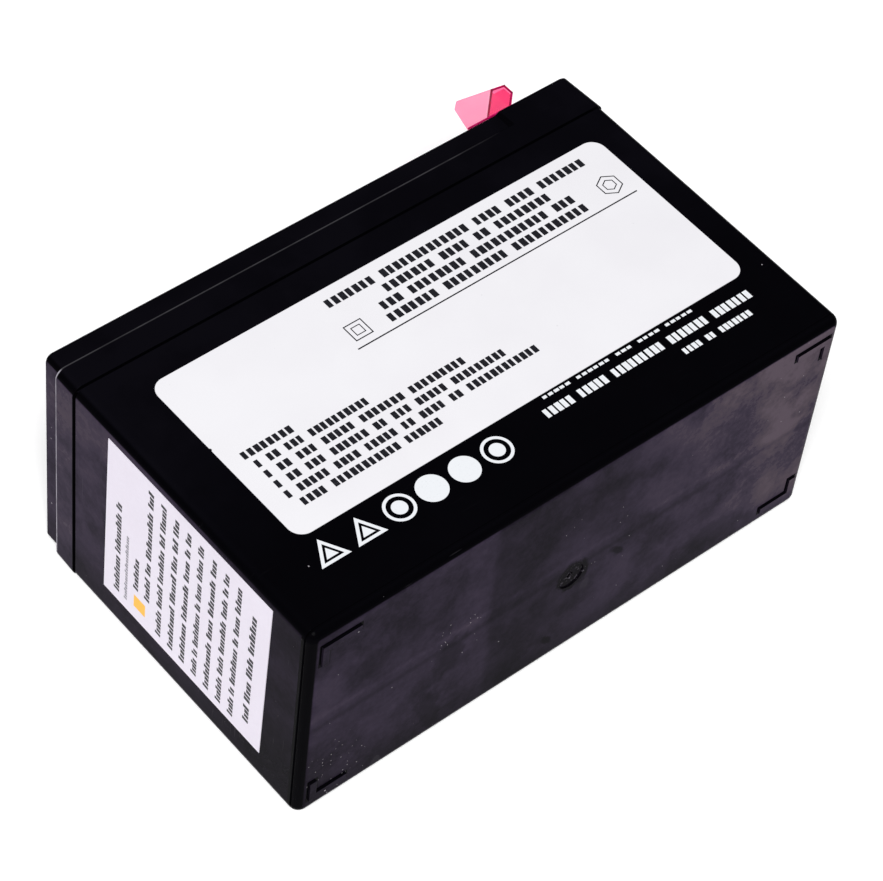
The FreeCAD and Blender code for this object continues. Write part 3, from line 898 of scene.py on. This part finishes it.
endPrint = {
    "thick": 0.02, "slope": 1.05, "slant": 0.12,
    # distance down, height, start, end and blocks in each word
    "rows": [
        (4.6, 2.0, 3.3, 34.6, (10, 11, 2)), (11.4, 1.8, 10.7, 21.8, (8,)),
        (15.4, 1.9, 10.9, 49.4, (6, 3, 12, 4)), (19.8, 1.9, 3.2, 49.4, (7, 6, 9, 3, 7)),
        (24.2, 1.9, 3.2, 49.4, (11, 7, 4, 3, 4)), (28.4, 1.9, 3.2, 49.4, (10, 9, 5, 2, 3)),
        (32.7, 1.9, 3.2, 49.4, (5, 2, 10, 2, 5, 6, 3)), (37.1, 1.9, 3.2, 49.4, (12, 5, 9, 4)),
        (41.4, 1.9, 3.2, 49.4, (7, 5, 9, 5, 2, 3)), (45.7, 1.9, 3.2, 49.4, (5, 2, 10, 2, 5, 7)),
        (50.9, 2.0, 6.8, 45.0, (4, 5, 5, 9))],
    "thin": (7.9, 1.1, 3.4, 26.4, (24,)),
    "block": (6.4, 13.0, 2.9),
}


def makeEndPrint():
    low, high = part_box("end_label")
    # blocks run along Z and rows go down Y, sloping with the edge of the sticker
    frameTurn = Matrix(((0, 0, -1, 0), (0, 1, 0, 0), (1, 0, 0, 0), (0, 0, 0, 1)))
    tilt = Matrix.Rotation(math.radians(endPrint["slope"]), 4, "X")
    lay = Matrix.Translation((low.x, high.y, low.z)) @ tilt @ frameTurn @ Matrix.Scale(mm, 4)
    ink = endPrint["thick"]
    dark, grey, amber = bmesh.new(), bmesh.new(), bmesh.new()
    for down, tall, begin, stop, words in endPrint["rows"]:
        layRow(dark, begin, stop, -down, tall, words, ink, endPrint["slant"], True)
    down, tall, begin, stop, words = endPrint["thin"]
    layRow(grey, begin, stop, -down, tall, words, ink, endPrint["slant"], True)
    x, down, size = endPrint["block"]
    layRing(amber, x, -down, size, 0, ink, 4, 45)
    finishPiece("end_print", dark, inks["dark"], lay)
    finishPiece("end_print_fine", grey, inks["grey"], lay)
    finishPiece("end_print_tint", amber, inks["amber"], lay)


makeFrontPrint()
makeCasePrint()
makeEndPrint()
print("prints laid")

stageLook = {
    "floor": (0.95, 0.95, 0.95, 1), "shade": (0.93, 0.93, 0.93, 1),
    "glow": 0.16, "world": (0.010, 0.010, 0.012, 1),
}


def makeStage():
    mesh = bmesh.new()
    bmesh.ops.create_grid(mesh, x_segments=2, y_segments=2, size=6.0)
    bmesh.ops.translate(mesh, verts=mesh.verts, vec=(0, 0, -0.0001))
    data = bpy.data.meshes.new("floor")
    mesh.to_mesh(data)
    mesh.free()
    floor = bpy.data.objects.new("floor", data)
    bpy.context.scene.collection.objects.link(floor)
    material, t, shader = newMaterial("floorPaper")
    cloud = t.noise(objectPlace(t), 6.0, 3.0, 0.5)
    colour = t.blend(t.step(cloud, 0.3, 0.7, 0.0, 0.3), stageLook["floor"], stageLook["shade"])
    t.feed(shader, "Base Color", colour)
    shader.inputs["Roughness"].default_value = 0.9
    shader.inputs["Specular IOR Level"].default_value = 0.1
    shader.inputs["Emission Color"].default_value = (1, 1, 1, 1)
    shader.inputs["Emission Strength"].default_value = stageLook["glow"]
    data.materials.append(material)
    world = bpy.data.worlds.new("room")
    world.use_nodes = True
    world.node_tree.nodes["Background"].inputs["Color"].default_value = stageLook["world"]
    bpy.context.scene.world = world


def makeLight(name, place, target, size, power, colour=(1, 1, 1)):
    data = bpy.data.lights.new(name, "AREA")
    data.shape = "DISK"
    data.size = size
    data.energy = power
    data.color = colour
    light = bpy.data.objects.new(name, data)
    light.location = place
    light.rotation_euler = (Vector(target) - Vector(place)).to_track_quat("-Z", "Y").to_euler()
    bpy.context.scene.collection.objects.link(light)


lights = [
    ("key", (-1.9, -2.1, 4.2), (0, 0, 0), 2.6, 330, (1.0, 1.0, 1.0)),
    ("fill", (-3.4, -0.2, 2.4), (0, 0, 0), 2.0, 30, (1.0, 0.98, 1.0)),
]

makeStage()
for light in lights:
    makeLight(*light)
makeCamera()
print("stage, lights and camera set")
